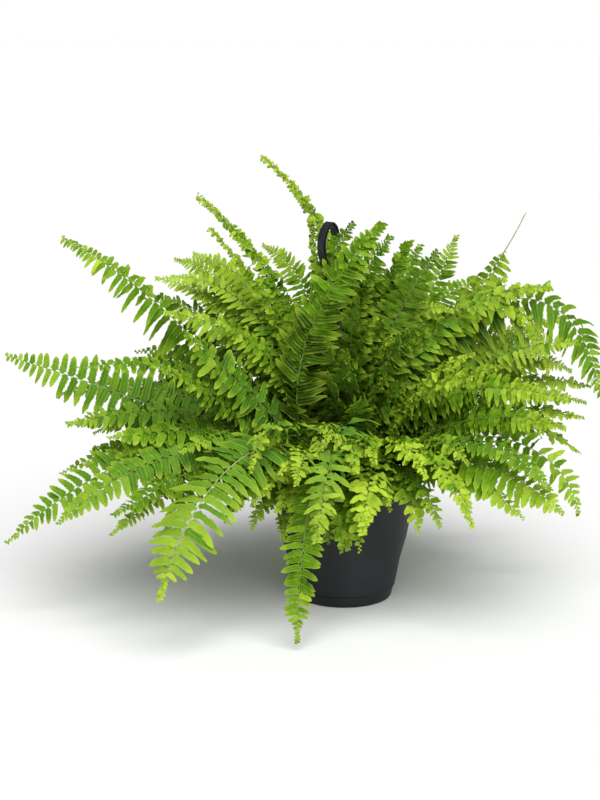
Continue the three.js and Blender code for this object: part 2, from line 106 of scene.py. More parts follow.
class Shader:
    """A material's nodes, with short calls to add and join them."""

    def __init__(self, name, **values):
        self.material = bpy.data.materials.new(name)
        self.material.use_nodes = True
        self.tree = self.material.node_tree
        self.surface = self.tree.nodes["Principled BSDF"]
        self.output = self.tree.nodes["Material Output"]
        for name, value in values.items():
            socket = name.replace("_", " ").title().replace("Ior", "IOR")
            self.surface.inputs[socket].default_value = value

    def add(self, kind, inputs=(), **settings):
        """A node of that kind. Each of its inputs is joined to a socket or set to a value."""
        node = self.tree.nodes.new("ShaderNode" + kind)
        for name, value in settings.items():
            setattr(node, name, value)
        for where, value in inputs.items() if isinstance(inputs, dict) else enumerate(inputs):
            self.set(node.inputs[where], value)
        return node

    def set(self, socket, value):
        """Joins the socket to another socket, or gives it a value."""
        if isinstance(value, bpy.types.NodeSocket):
            self.tree.links.new(value, socket)
        elif value is not None:
            socket.default_value = value

    def sum(self, operation, *inputs):
        """The result of a maths node."""
        return self.add("Math", inputs, operation=operation).outputs[0]

    def layer(self, name):
        """A number stored on the mesh."""
        return self.add("Attribute", attribute_name=name).outputs["Fac"]

    def step(self, value, low, high):
        """0 below low and 1 above high, smooth between."""
        inputs = {"Value": value, "From Min": low, "From Max": high}
        return self.add("MapRange", inputs, interpolation_type="SMOOTHSTEP").outputs["Result"]

    def noise(self, size, detail=3.0, rough=0.55):
        """Noise from 0 to 1, with patches of about that size in metres."""
        place = self.add("TexCoord").outputs["Object"]
        inputs = {"Vector": place, "Scale": 1 / size, "Detail": detail, "Roughness": rough}
        return self.add("TexNoise", inputs).outputs["Fac"]

    def ramp(self, value, *stops):
        """A colour that runs through (place, colour) stops."""
        node = self.add("ValToRGB", [value])
        bands = node.color_ramp.elements
        while len(bands) < len(stops):
            bands.new(0.5)
        for band, (place, colour) in zip(bands, stops):
            band.position = place
            band.color = (*colour, 1)
        return node.outputs["Color"]

    def mix(self, share, first, second, how="MIX"):
        """One colour over another."""
        node = self.add("Mix", data_type="RGBA", blend_type=how)
        for socket, value in zip((node.inputs[0], node.inputs[6], node.inputs[7]), (share, first, second)):
            colour = isinstance(value, tuple) and len(value) == 3
            self.set(socket, (*value, 1) if colour else value)
        return node.outputs[2]

    def bump(self, height, depth, strength=1.0):
        """Sets a relief of that depth in metres on the surface."""
        inputs = {"Strength": strength, "Distance": depth, "Height": height}
        self.set(self.surface.inputs["Normal"], self.add("Bump", inputs).outputs["Normal"])

    def colour(self, value):
        """Gives the surface its colour."""
        self.set(self.surface.inputs["Base Color"], value)


# Colours are linear red, green and blue.
# The darkest leaf colour stands for old leaves and also for painted shade inside the clump.
OLD_AND_SHADED_LEAF, LEAF, YOUNG_LEAF = (0.008, 0.042, 0.001), (0.100, 0.265, 0.002), (0.520, 0.710, 0.050)
BLUE_LEAF = (0.062, 0.235, 0.042)
PALE_RIB = (0.330, 0.440, 0.045)
UNDERSIDE = (0.130, 0.280, 0.018)
LIT_THROUGH = (0.420, 0.620, 0.050)
GREEN_STALK, PALE_STALK = (0.085, 0.170, 0.022), (0.400, 0.420, 0.170)
SCALY_FOOT, STRAW = (0.060, 0.038, 0.014), (0.235, 0.165, 0.090)
DUST = (0.120, 0.105, 0.085)
FIBRE, PALE_CRUMB = (0.180, 0.130, 0.080), (0.480, 0.450, 0.390)
LIGHT_THROUGH_LEAF = 0.20            # how much of a leaf's look is light from behind it
VEIN_PAIRS = 13.0                    # side veins on each half of a leaflet


def leaf_material():
    """Thin satin leaf: a pale midrib, fine side veins, lighter margins and a paler underside."""
    s = Shader("fern_leaf", roughness=0.46, specular_ior_level=0.08)
    tone, blue, along = s.layer("tone"), s.layer("blue"), s.layer("along")
    off_rib = s.sum("ABSOLUTE", s.layer("across"))
    mottle = s.noise(0.006)
    # the dark end of this ramp is old leaves and also painted shade
    shade = s.sum("ADD", tone, s.sum("MULTIPLY", s.sum("SUBTRACT", mottle, 0.5), 0.30))
    colour = s.ramp(shade, (0.0, OLD_AND_SHADED_LEAF), (0.5, LEAF), (1.0, YOUNG_LEAF))
    colour = s.mix(blue, colour, BLUE_LEAF)
    margin = s.sum("MULTIPLY", s.step(off_rib, 0.45, 1.0), 0.34)
    tip = s.sum("MULTIPLY", s.step(along, 0.55, 1.0), 0.42)
    colour = s.mix(s.sum("ADD", margin, tip), colour, YOUNG_LEAF)
    rib = s.sum("SUBTRACT", 1.0, s.step(off_rib, 0.03, 0.14))
    colour = s.mix(s.sum("MULTIPLY", rib, 0.45), colour, PALE_RIB)
    slant = s.sum("SUBTRACT", s.sum("MULTIPLY", along, VEIN_PAIRS), s.sum("MULTIPLY", off_rib, 1.6))
    veins = s.step(s.sum("PINGPONG", slant, 0.5), 0.0, 0.14)
    colour = s.mix(s.sum("MULTIPLY", s.sum("SUBTRACT", 1.0, veins), 0.14), colour, PALE_RIB)
    colour = s.mix(s.sum("MULTIPLY", s.layer("under"), 0.45), colour, UNDERSIDE)
    s.colour(colour)
    relief = s.sum("ADD", s.sum("MULTIPLY", veins, 0.5), s.sum("MULTIPLY", s.step(off_rib, 0.0, 0.2), 0.9))
    s.bump(s.sum("ADD", relief, s.sum("MULTIPLY", mottle, 0.5)), 0.25 * MM, 0.7)
    s.set(s.surface.inputs["Roughness"], s.sum("ADD", 0.36, s.sum("MULTIPLY", mottle, 0.22)))
    through = s.add("BsdfTranslucent", {"Color": s.mix(0.35, colour, LIT_THROUGH)})
    both = s.add("MixShader", [LIGHT_THROUGH_LEAF, s.surface.outputs[0], through.outputs[0]])
    s.set(s.output.inputs["Surface"], both.outputs[0])
    return s.material


def stalk_material():
    """The frond's stalk: brown and scaly at its foot, pale green to straw above."""
    s = Shader("fern_stalk", roughness=0.5, specular_ior_level=0.35)
    grain = s.noise(0.003, detail=4.0)
    green = s.mix(s.layer("pale"), GREEN_STALK, PALE_STALK)
    foot = s.sum("SUBTRACT", 1.0, s.step(s.layer("along"), 0.02, 0.22))
    colour = s.mix(s.sum("MULTIPLY", foot, 0.85), green, SCALY_FOOT)
    colour = s.mix(s.layer("brown"), colour, STRAW)
    dark = s.sum("ADD", 0.72, s.sum("MULTIPLY", grain, 0.5))
    s.colour(s.mix(1.0, colour, s.add("CombineColor", [dark, dark, dark]).outputs[0], "MULTIPLY"))
    s.bump(grain, 0.3 * MM, 0.5)
    return s.material


def plastic_material(name, tint, light, roughness):
    """Matte moulded plastic with a fine grain, a soft cast and a little dust."""
    s = Shader(name, roughness=roughness, specular_ior_level=0.36)
    cloud, grain = s.noise(0.060, detail=4.0), s.noise(0.0007, detail=2.0)
    colour = s.mix(s.step(cloud, 0.35, 0.75), tint, light)
    facing = s.add("NewGeometry").outputs["Normal"]
    upward = s.add("SeparateXYZ", [facing]).outputs["Z"]
    dust = s.sum("MULTIPLY", s.step(upward, 0.25, 1.0), s.step(s.noise(0.004), 0.45, 0.8))
    colour = s.mix(s.sum("MULTIPLY", dust, 0.30), colour, DUST)
    s.colour(colour)
    s.set(s.surface.inputs["Roughness"], s.sum("ADD", roughness - 0.06, s.sum("MULTIPLY", cloud, 0.14)))
    s.bump(s.sum("ADD", grain, s.sum("MULTIPLY", cloud, 2.0)), 0.12 * MM, 0.55)
    return s.material


def soil_material():
    """Moist peat: near black, with brown fibres and a few pale crumbs."""
    s = Shader("potting_mix", roughness=0.94, specular_ior_level=0.2)
    lumps, fibres = s.noise(0.004, detail=6.0, rough=0.7), s.noise(0.0012, detail=3.0)
    colour = s.ramp(lumps, (0.30, (0.008, 0.005, 0.003)), (0.55, (0.032, 0.019, 0.010)),
                    (0.80, (0.085, 0.052, 0.028)))
    colour = s.mix(s.step(fibres, 0.66, 0.74), colour, FIBRE)
    s.colour(s.mix(s.layer("pale"), colour, PALE_CRUMB))
    s.bump(s.sum("ADD", lumps, fibres), 1.2 * MM)
    return s.material


def root_material():
    """Brown scaly root stock."""
    s = Shader("root_fibre", roughness=0.88, specular_ior_level=0.25)
    scales, threads = s.noise(0.0035, detail=5.0, rough=0.7), s.noise(0.0010)
    colour = s.ramp(scales, (0.30, (0.022, 0.012, 0.005)), (0.60, (0.085, 0.045, 0.018)),
                    (0.85, (0.210, 0.130, 0.060)))
    s.colour(colour)
    s.bump(s.sum("ADD", scales, s.sum("MULTIPLY", threads, 0.4)), 1.0 * MM)
    return s.material


def floor_material():
    """Pale matte studio floor."""
    s = Shader("studio_floor", roughness=0.85, specular_ior_level=0.2)
    s.colour(s.mix(s.noise(0.4), (0.86, 0.86, 0.86), (0.90, 0.90, 0.90)))
    return s.material


LEAF_SKIN, STALK_SKIN = leaf_material(), stalk_material()

CROWN_LOW, CROWN_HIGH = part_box("root_crown")
RIM_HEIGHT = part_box("pot")[1].z
CLUMP_FOOT = np.array([0, 0, CROWN_LOW.z])


# ---------------------------------------------------------------- the line of each frond

class Line:
    """A frond's midline with the way across it and its upper side, at even steps from foot to tip."""

    STEPS = 120

    def __init__(self, centres, sides):
        knots = np.concatenate([[0], np.cumsum(np.linalg.norm(np.diff(centres, axis=0), axis=1))])
        even = np.linspace(0, knots[-1], self.STEPS)
        self.length = knots[-1]
        self.spots = smooth_line(knots, centres, even)
        self.heads = unit(np.gradient(self.spots, axis=0))
        self.sides = across_of(smooth_line(knots, sides, even), self.heads)
        self.ups = np.cross(self.sides, self.heads)

    def at(self, shares):
        """Spots, headings, sides and ups at these shares of the length."""
        place = np.clip(shares, 0, 1) * (self.STEPS - 1)
        low = np.minimum(place.astype(int), self.STEPS - 2)
        part = (place - low)[:, None]
        return [rows[low] * (1 - part) + rows[low + 1] * part
                for rows in (self.spots, self.heads, self.sides, self.ups)]


def cad_rings(node):
    """A CAD frond's corners from its foot to its tip: a point, rings of four, and a point."""
    form = bmesh.new()
    form.from_mesh(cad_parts[node].data)
    bmesh.ops.remove_doubles(form, verts=form.verts, dist=SAME_SPOT)
    spots = [np.array(v.co) for v in form.verts]
    form.verts.index_update()
    near = [{e.other_vert(v).index for e in v.link_edges} for v in form.verts]
    form.free()
    foot = min(range(len(spots)), key=lambda i: np.linalg.norm(spots[i] - CLUMP_FOOT))
    rings, seen = [{foot}], {foot}
    while len(seen) < len(spots):
        rings.append(set().union(*(near[i] for i in rings[-1])) - seen)
        seen |= rings[-1]
    return rings, spots, near


def cad_line(node):
    """The line of a CAD frond, read from its corners."""
    rings, spots, near = cad_rings(node)
    centres = np.array([np.mean([spots[i] for i in ring], axis=0) for ring in rings])
    crossings = []
    for ring in rings[1:-1]:
        first = min(ring)
        facing = (ring - near[first] - {first}).pop()
        one, other = ring - {first, facing}
        crossings.append((spots[facing] - spots[first], spots[other] - spots[one]))
    widest = max(range(len(crossings)), key=lambda i: max(np.linalg.norm(c) for c in crossings[i]))
    sides = [None] * len(crossings)
    sides[widest] = max(crossings[widest], key=np.linalg.norm)
    for i in [*range(widest + 1, len(crossings)), *range(widest - 1, -1, -1)]:
        last = sides[i - 1] if i > widest else sides[i + 1]
        turns = [c * sign for c in crossings[i] for sign in (1, -1)]
        sides[i] = max(turns, key=lambda c: np.dot(unit(c), unit(last)))
    sides = unit(np.array([sides[0], *sides, sides[-1]]))
    heads = unit(np.gradient(centres, axis=0))
    bend = np.gradient(heads, axis=0)
    ups = np.cross(sides, heads)
    if np.sum(ups * bend) > 0:
        sides = -sides
    return Line(centres, sides)


ARCH_POINTS = 13
RISE_PULL, FALL_PULL = 0.42, 0.36    # how far an arch keeps its first and last heading


def arched_line(foot, bearing, launch, tip, tip_pitch, roll):
    """The line of a frond that rises from its foot and arches out to its tip. Angles are in radians."""
    away = np.array([cos(bearing), sin(bearing), 0.0])
    rise = away * cos(launch) + UP * sin(launch)
    fall = unit(tip - foot) * [1, 1, 0]
    fall = unit(fall) * cos(tip_pitch) + UP * sin(tip_pitch)
    reach = np.linalg.norm(tip - foot)
    t = np.linspace(0, 1, ARCH_POINTS)[:, None]
    first, second = foot + rise * reach * RISE_PULL, tip - fall * reach * FALL_PULL
    centres = (foot * (1 - t) ** 3 + first * 3 * t * (1 - t) ** 2
               + second * 3 * t * t * (1 - t) + tip * t ** 3)
    heads = unit(np.gradient(centres, axis=0))
    level = unit(np.cross(heads, UP))
    ups = np.cross(level, heads)
    turn = roll * ease(t)
    return Line(centres, level * np.cos(turn) + ups * np.sin(turn))


# ---------------------------------------------------------------- leaflets

class Habit:
    """How one sort of frond carries its leaflets. Lengths are in mm and angles in degrees.

    leaflet is a leaflet's width, and gap how many of those lie from one to the next. forward, lift and
    loose are the angles at which leaflets lean to the tip, rise and stray. droop, sickle, curl, sag and
    wave bend the leaflet down, sideways, under, by its weight and in ripples, as shares of its length or
    width. ear is the lobe at its foot, and blunt how square its end is. start is where on the frond the
    blade begins, taper how late it narrows, beads the last stretch with only tiny leaflets, and tip how
    long those are beside a full one.
    """

    def __init__(self, leaflet, gap, forward=6, lift=6, droop=0.14, sickle=0.05, wave=0.14, curl=0.0,
                 start=0.16, sag=0.08, ear=0.30, blunt=5.5, loose=8, taper=3.0, beads=0.02, tip=0.13):
        self.leaflet, self.gap, self.forward, self.lift = leaflet, gap, forward, lift
        self.droop, self.sickle, self.wave, self.curl = droop, sickle, wave, curl
        self.start, self.sag, self.ear, self.blunt = start, sag, ear, blunt
        self.loose, self.taper, self.beads, self.tip = loose, taper, beads, tip


HABITS = {
    "broad": Habit(13.0, 0.96, droop=0.20, taper=3.8, wave=0.24, blunt=4.6, tip=0.18),
    "long": Habit(12.6, 1.02, droop=0.26, taper=7.0, beads=0.07, tip=0.16, forward=2, sag=0.12, wave=0.20),
    "open": Habit(12.5, 1.26, taper=2.2, beads=0.02, forward=3, sickle=-0.04, wave=0.20, tip=0.16),
    "slim": Habit(9.5, 1.06, taper=5.0, beads=0.05, droop=0.20, tip=0.20, wave=0.24),
    "comb": Habit(8.4, 1.12, sickle=0.12, forward=10, lift=10, ear=0.15, blunt=2.6, wave=0.26, taper=3.6,
                  tip=0.20),
    "ribbed": Habit(9.6, 1.00, droop=0.26, forward=8, ear=0.2, blunt=2.8, wave=0.38, loose=10, taper=3.8,
                    tip=0.26),
    "ruffled": Habit(12.0, 0.78, droop=0.36, curl=0.12, forward=20, wave=0.40, blunt=3.6, loose=15,
                     taper=3.0, tip=0.34),
    "fine": Habit(7.8, 1.00, wave=0.32, loose=13, taper=3.4, blunt=3.2, tip=0.22),
    "young": Habit(11.0, 0.72, droop=0.35, wave=0.60, curl=0.30, loose=28, ear=0.2, taper=1.3, beads=0.0,
                   tip=0.36),
    "curled": Habit(10.0, 0.92, droop=0.34, wave=0.40, curl=0.25, loose=20, ear=0.2, taper=2.8, tip=0.26),
    "crinkled": Habit(11.5, 0.82, droop=0.16, wave=0.50, curl=0.12, loose=15, taper=3.0, tip=0.26,
                      blunt=3.8),
    "hanging": Habit(10.5, 1.16, wave=0.30, sag=0.36, forward=8, loose=11, taper=4.2, blunt=3.6, tip=0.18),
    "draped": Habit(10.5, 1.10, wave=0.40, sag=0.38, forward=8, loose=16, taper=2.2, beads=0.0, tip=0.26,
                    blunt=3.8),
    "bare": Habit(10.0, 1.10, wave=0.28, sag=0.50, forward=10, loose=12, taper=6.0, beads=0.17, tip=0.04),
    "fingers": Habit(10.5, 1.30, forward=14, loose=15, taper=2.6, wave=0.24, blunt=3.6, tip=0.18),
}

# Eight corners round a leaflet: where each lies across it, and whether on its top or underside.
ACROSS = np.array([-1.0, -0.5, 0.0, 0.5, 1.0, 0.5, 0.0, -0.5])
TOP_SIDE = np.array([0.0, 1.0, 1.0, 1.0, 0.0, -1.0, -1.0, -1.0])
FINE, PLAIN = 12, 9                  # stations along a leaflet, on the outer and the inner fronds
LEAF_THICKNESS = 0.5 * MM
SCALLOP = 0.07                       # how deep the teeth of its margin are, as a share of its width
FOLD = 0.16                          # how steeply its two halves rise from its midrib
LEAST_LEAFLET = 1.5 * MM             # no leaflet is shorter
FOOT_RADIUS, TIP_RADIUS = 1.5 * MM, 0.4 * MM  # of a stalk
STALK_END = 0.995                    # the share of the frond's length where stalk and leaflets stop


def leaflet_faces(stations):
    """The faces of one leaflet: a fan at its foot, bands of eight and a fan at its tip."""
    around = len(ACROSS)
    faces = [(0, 1 + (j + 1) % around, 1 + j) for j in range(around)]
    for i in range(stations - 1):
        for j in range(around):
            a, b = 1 + i * around, 1 + (i + 1) * around
            faces.append((a + j, a + (j + 1) % around, b + (j + 1) % around, b + j))
    last, tip = 1 + (stations - 1) * around, 1 + stations * around
    faces += [(last + j, last + (j + 1) % around, tip) for j in range(around)]
    return faces


def leaflet_points(foot, out, ahead, top, length, width, habit, stations, dice):
    """Corners of many leaflets at once, and their along, across and under numbers."""
    n = len(foot)
    u = np.linspace(0.02, 0.985, stations)
    spread = lambda amount: dice.normal(0, 1, (n, 1)) * amount
    length, width = length[:, None], width[:, None]
    sickle = habit.sickle + spread(0.05)
    droop = habit.droop + spread(0.06)
    curl = habit.curl * (1 + spread(0.5))
    # the midrib
    x = length * (u - 0.30 * (droop ** 2 + sickle ** 2) * u ** 3)
    y = length * sickle * u ** 2
    z = -length * (droop * u ** 2 + curl * u ** 4)
    sag = -length * habit.sag * (1 + spread(0.3)) * u ** 2
    rib = (foot[:, None] + out[:, None] * x[..., None] + ahead[:, None] * y[..., None]
           + top[:, None] * z[..., None] + UP * sag[..., None])
    # half widths, with scalloped margins and an ear at the foot on the side nearer the tip
    half = width / 2 * (1 - u ** habit.blunt) ** 0.5 * (0.45 + 0.55 * ease(u / 0.10)) * (1 - 0.20 * u)
    scallop = 1 + SCALLOP * np.where(np.arange(stations) % 2, 1, -1)
    ear = habit.ear * np.exp(-(((u - 0.10) / 0.09) ** 2)) * width / 2
    hollow = 1 - 0.35 * np.exp(-((u / 0.07) ** 2))
    near, far = half * scallop * hollow, (half + ear) * scallop
    reach = np.where(ACROSS > 0, far[..., None], near[..., None]) * ACROSS
    # folds and waves
    twist = spread(0.35) * u
    rows = lambda v: v[:, None, None, :]
    turn = twist[..., None, None]
    side = rows(ahead) * np.cos(turn) + rows(top) * np.sin(turn)
    face = rows(top) * np.cos(turn) - rows(ahead) * np.sin(turn)
    phase, pace = dice.uniform(0, 2 * pi, (n, 1)), dice.uniform(1.2, 2.6, (n, 1))
    ripple = habit.wave * np.sin(2 * pi * pace * u + phase)
    fold = FOLD + spread(0.07)
    flutter = habit.wave * 0.5 * half * np.sin(2 * pi * pace * 1.7 * u + 2 * phase)
    raised = (np.abs(ACROSS) * (fold[..., None] * half[..., None])
              + ACROSS * np.abs(ACROSS) * (ripple * half)[..., None]
              + ACROSS ** 2 * flutter[..., None])
    thick = TOP_SIDE * LEAF_THICKNESS / 2 * (1 - 0.5 * np.abs(ACROSS))
    grid = rib[:, :, None] + side * reach[..., None] + face * (raised + thick)[..., None]
    first = foot[:, None] - out[:, None] * 0.4 * MM
    last = rib[:, -1:] + unit(rib[:, -1:] - rib[:, -2:-1]) * length[..., None] * 0.018
    corners = np.concatenate([first, grid.reshape(n, -1, 3), last], axis=1)
    around = len(ACROSS)
    along = np.concatenate([[0], np.repeat(u, around), [1]])
    across = np.concatenate([[0], np.tile(ACROSS, stations), [0]])
    under = np.concatenate([[0.5], np.tile((1 - TOP_SIDE) / 2, stations), [0.5]])
    return corners, along, across, under


def leaflet_share(t, habit):
    """The share of the full leaflet length at t, from 0 where the blade starts to 1 at its tip."""
    leafy = min(t / (1 - habit.beads), 1.0)
    full = (0.55 + 0.45 * ease(t / 0.22)) * (1 - leafy ** habit.taper) ** 0.75
    return max(float(full), habit.tip * (1 - 0.35 * t))


def leaflet_sites(line, habit):
    """Places of the leaflet pairs along the frond, as shares of its length, and their size."""
    place, sites = habit.start, []
    while place < STALK_END:
        t = (place - habit.start) / (1 - habit.start)
        size = leaflet_share(t, habit)
        sites.append((place, t, size))
        step = habit.leaflet * MM * habit.gap * (0.28 + 0.72 * min(1.0, size * 1.4))
        place += step / line.length
    return np.array(sites).T


def stalk(line):
    """A tapering round stalk: its corners, faces and how far along each corner is."""
    rings, around = 64, 7
    shares = np.linspace(0, STALK_END, rings)
    spots, _, sides, ups = line.at(shares)
    radius = TIP_RADIUS + (FOOT_RADIUS - TIP_RADIUS) * (1 - shares) ** 1.1
    angle = np.linspace(0, 2 * pi, around, endpoint=False)
    ring = sides[:, None] * np.cos(angle)[:, None] + ups[:, None] * np.sin(angle)[:, None] * 0.85
    corners = (spots[:, None] + ring * radius[:, None, None]).reshape(-1, 3)
    faces = [(i * around + j, i * around + (j + 1) % around,
              (i + 1) * around + (j + 1) % around, (i + 1) * around + j)
             for i in range(rings - 1) for j in range(around)]
    faces.append(tuple(range(around))[::-1])
    faces.append(tuple((rings - 1) * around + j for j in range(around)))
    return corners, faces, np.repeat(shares, around)


class Foliage:
    """Fronds gathered for one piece: corners, faces, skins, margins and the numbers for the materials."""

    LAYERS = ("along", "across", "under", "tone", "blue", "pale", "brown")

    def __init__(self):
        self.points, self.faces, self.skins, self.margins, self.layers = [], [], [], [], []
        self.corners = 0

    def add(self, points, faces, skin, margin, **layers):
        """Adds corners and faces in one skin, with a margin mark and material numbers for each corner."""
        self.faces += [tuple(corner + self.corners for corner in face) for face in faces]
        self.skins += [skin] * len(faces)
        self.points.append(points)
        self.margins.append(np.broadcast_to(margin, len(points)))
        rows = [np.asarray(layers.get(name, 0.0), float) for name in self.LAYERS]
        self.layers.append(np.stack([np.broadcast_to(row, len(points)) for row in rows]))
        self.corners += len(points)

    def finish(self, name, replaces=()):
        """Makes the piece, with each leaflet's margin as a sharp edge between its two sides."""
        piece = new_piece(name, np.concatenate(self.points), self.faces, [STALK_SKIN, LEAF_SKIN],
                          replaces)
        mesh = piece.data
        mesh.polygons.foreach_set("material_index", np.array(self.skins, np.int32))
        paint(piece, **dict(zip(self.LAYERS, np.concatenate(self.layers, axis=1))))
        pairs = np.empty(len(mesh.edges) * 2, np.int32)
        mesh.edges.foreach_get("vertices", pairs)
        sharp = np.all(np.concatenate(self.margins)[pairs.reshape(-1, 2)], axis=1)
        mesh.attributes.new("sharp_edge", "BOOLEAN", "EDGE").data.foreach_set("value", sharp)


TIP_LEAN = radians(16)               # how much further leaflets lean forward at the frond's tip
LEAFLET_TURN = radians(8)            # how far leaflets turn about their own midribs, on average
OLDER_AND_SHADED_AT_FOOT, YOUNGER_AT_TIP = 0.38, 0.72  # taken off a frond's tone at its foot, as painted shade inside the clump and for older leaflets, then gained by its tip
STALK_PAINT, LEAF_PAINT = 0, 1       # places in the piece's list of materials


def grow_frond(foliage, line, habit, width, tone, blue, pale, brown, seed, stations):
    """Adds one frond to the foliage: its stalk and all its leaflets. Its blade's width is in mm."""
    dice = np.random.default_rng(seed)
    shares, t, size = leaflet_sites(line, habit)
    feet, outs, aheads, tops, lengths, widths, tones, blues = [], [], [], [], [], [], [], []
    for way in (-1, 1):
        half_step = np.gradient(shares) * 0.25 * way
        spots, heads, sides, ups = line.at(shares + half_step)
        n = len(shares)
        loose = radians(habit.loose)
        forward = radians(habit.forward) + TIP_LEAN * t ** 3 + dice.normal(0, loose * 0.5, n)
        lift = radians(habit.lift) + dice.normal(0, loose, n)
        turn = dice.normal(LEAFLET_TURN, loose, n)
        out = way * sides * np.cos(forward)[:, None] + heads * np.sin(forward)[:, None]
        out = unit(out * np.cos(lift)[:, None] + ups * np.sin(lift)[:, None])
        ahead = across_of(heads, out)
        top = np.cross(out, ahead) * way
        top *= np.sign(np.sum(top * ups, axis=1, keepdims=True))
        ahead, top = (ahead * np.cos(turn)[:, None] + top * np.sin(turn)[:, None],
                      top * np.cos(turn)[:, None] - ahead * np.sin(turn)[:, None])
        long = width / 2 * MM * size * (1 + dice.normal(0, 0.06, n)) / np.cos(radians(habit.forward))
        wide = habit.leaflet * MM * np.minimum(1.0, 0.30 + 1.1 * size) * (1 + dice.normal(0, 0.05, n))
        stem = (0.35 + 0.75 * (1 - shares))[:, None] * MM
        feet.append(spots + out * stem * 0.5)
        outs.append(out)
        aheads.append(ahead)
        tops.append(top)
        long = np.maximum(long, LEAST_LEAFLET)
        lengths.append(long)
        widths.append(np.minimum(wide, long))
        # leaflets darken towards the frond's foot: painted shade inside the clump, and older leaflets
        tones.append(tone - OLDER_AND_SHADED_AT_FOOT + YOUNGER_AT_TIP * t ** 1.2 + dice.normal(0, 0.11, n))
        blues.append(blue * (1 - 0.75 * t))
    parts = [np.concatenate(rows) for rows in (feet, outs, aheads, tops, lengths, widths)]
    corners, along, across, under = leaflet_points(*parts, habit, stations, dice)
    count, each = len(corners), len(along)
    stalk_corners, stalk_faces, stalk_along = stalk(line)
    foliage.add(stalk_corners, stalk_faces, STALK_PAINT, False, along=stalk_along, pale=pale, brown=brown)
    pattern = leaflet_faces(stations)
    turned = [face[::-1] for face in pattern]
    flip = np.sum(np.cross(parts[1], parts[2]) * parts[3], axis=1) > 0
    faces = [tuple(i * each + corner for corner in face)
             for i in range(count) for face in (pattern if flip[i] else turned)]
    margin = np.concatenate([[True], np.tile(np.abs(ACROSS) == 1, stations), [True]])
    foliage.add(corners.reshape(-1, 3), faces, LEAF_PAINT, np.tile(margin, count),
                along=np.tile(along, count), across=np.tile(across, count), under=np.tile(under, count),
                tone=np.repeat(np.concatenate(tones), each), blue=np.repeat(np.concatenate(blues), each))


# ---------------------------------------------------------------- the fronds that the CAD holds

# Frond number: habit, blade width in mm, tone from old (0) to young (1), a low tone also standing for
# painted shade, how blue, how pale and how brown the stalk is.
FRONDS = {
    1: ("long", 108, 0.62, 0.60, 0.9, 0.0),
    2: ("slim", 60, 0.40, 0.05, 0.3, 0.0),
    3: ("curled", 86, 0.66, 0.85, 0.3, 0.0),
    # frond 4's low tone is painted shade in the deep core of the clump
    4: ("ruffled", 86, 0.26, 0.05, 0.3, 0.0),
    5: ("young", 46, 0.62, 0.00, 0.2, 0.0),
    6: ("young", 44, 0.48, 0.10, 0.2, 0.0),
    7: ("ribbed", 84, 0.14, 0.10, 0.3, 0.7),
    8: ("comb", 76, 0.44, 0.05, 0.3, 0.0),
    9: ("bare", 84, 0.58, 0.12, 0.2, 0.3),
    10: ("young", 50, 0.55, 0.05, 0.3, 0.0),
    11: ("young", 42, 0.52, 0.05, 0.3, 0.0),
    12: ("comb", 68, 0.46, 0.08, 0.2, 0.0),
    13: ("comb", 72, 0.52, 0.05, 0.2, 0.0),
    14: ("draped", 90, 0.38, 0.10, 0.2, 0.0),
    15: ("broad", 80, 0.38, 0.50, 0.2, 0.0),
    16: ("open", 126, 0.38, 0.50, 0.4, 0.0),
    17: ("comb", 66, 0.26, 0.50, 0.2, 0.0),
    18: ("fine", 58, 0.46, 0.08, 0.2, 0.0),
    19: ("fingers", 84, 0.42, 0.50, 0.3, 0.0),
    20: ("broad", 70, 0.48, 0.60, 0.3, 0.0),
    21: ("fine", 50, 0.50, 0.15, 0.2, 0.0),
    22: ("ribbed", 60, 0.48, 0.05, 0.2, 0.0),
    23: ("comb", 76, 0.28, 0.50, 0.2, 0.0),
    24: ("crinkled", 72, 0.78, 0.00, 0.2, 0.0),
    25: ("crinkled", 70, 0.66, 0.05, 0.2, 0.0),
    26: ("curled", 52, 0.66, 0.60, 0.2, 0.0),
    27: ("crinkled", 54, 0.70, 0.10, 0.2, 0.0),
    28: ("broad", 48, 0.42, 0.05, 0.2, 0.0),
    29: ("fine", 40, 0.40, 0.05, 0.2, 0.0),
    30: ("broad", 42, 0.38, 0.05, 0.2, 0.0),
    31: ("crinkled", 62, 0.74, 0.00, 0.2, 0.0),
    32: ("broad", 46, 0.60, 0.05, 0.2, 0.0),
    33: ("fine", 48, 0.55, 0.10, 0.2, 0.0),
    34: ("crinkled", 54, 0.68, 0.05, 0.2, 0.0),
    35: ("broad", 58, 0.60, 0.10, 0.2, 0.0),
    36: ("broad", 80, 0.52, 0.05, 0.3, 0.0),
    37: ("fingers", 78, 0.44, 0.10, 0.3, 0.2),
    38: ("fine", 62, 0.48, 0.05, 0.2, 0.0),
    39: ("fine", 60, 0.60, 0.05, 0.2, 0.0),
    40: ("hanging", 100, 0.28, 0.30, 0.2, 0.3),
    41: ("curled", 56, 0.60, 0.10, 0.2, 0.0),
    42: ("crinkled", 42, 0.85, 0.00, 0.2, 0.0),
    43: ("fine", 56, 0.60, 0.05, 0.2, 0.0),
}
BACK_HABITS = ("broad", "comb", "open", "fine")
BACK_WIDTH = 66                      # mm
HELD_SEED, INNER_SEED = 100, 500     # each frond's own random draws start from these and its number


def held_fronds():
    """Every frond that has a solid of its own, on that solid's own line."""
    for name in sorted(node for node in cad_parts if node.startswith("frond_")):
        number = int(name.split("_")[1])
        sort = number % len(BACK_HABITS)
        behind = (BACK_HABITS[sort], BACK_WIDTH, 0.42 + 0.05 * sort, 0.10, 0.2, 0.0)
        habit, width, *looks = FRONDS.get(number, behind)
        foliage = Foliage()
        grow_frond(foliage, cad_line(name), HABITS[habit], width, *looks, HELD_SEED + number, FINE)
        foliage.finish(name + "_leaves", [name])


# ---------------------------------------------------------------- the fronds inside the clump

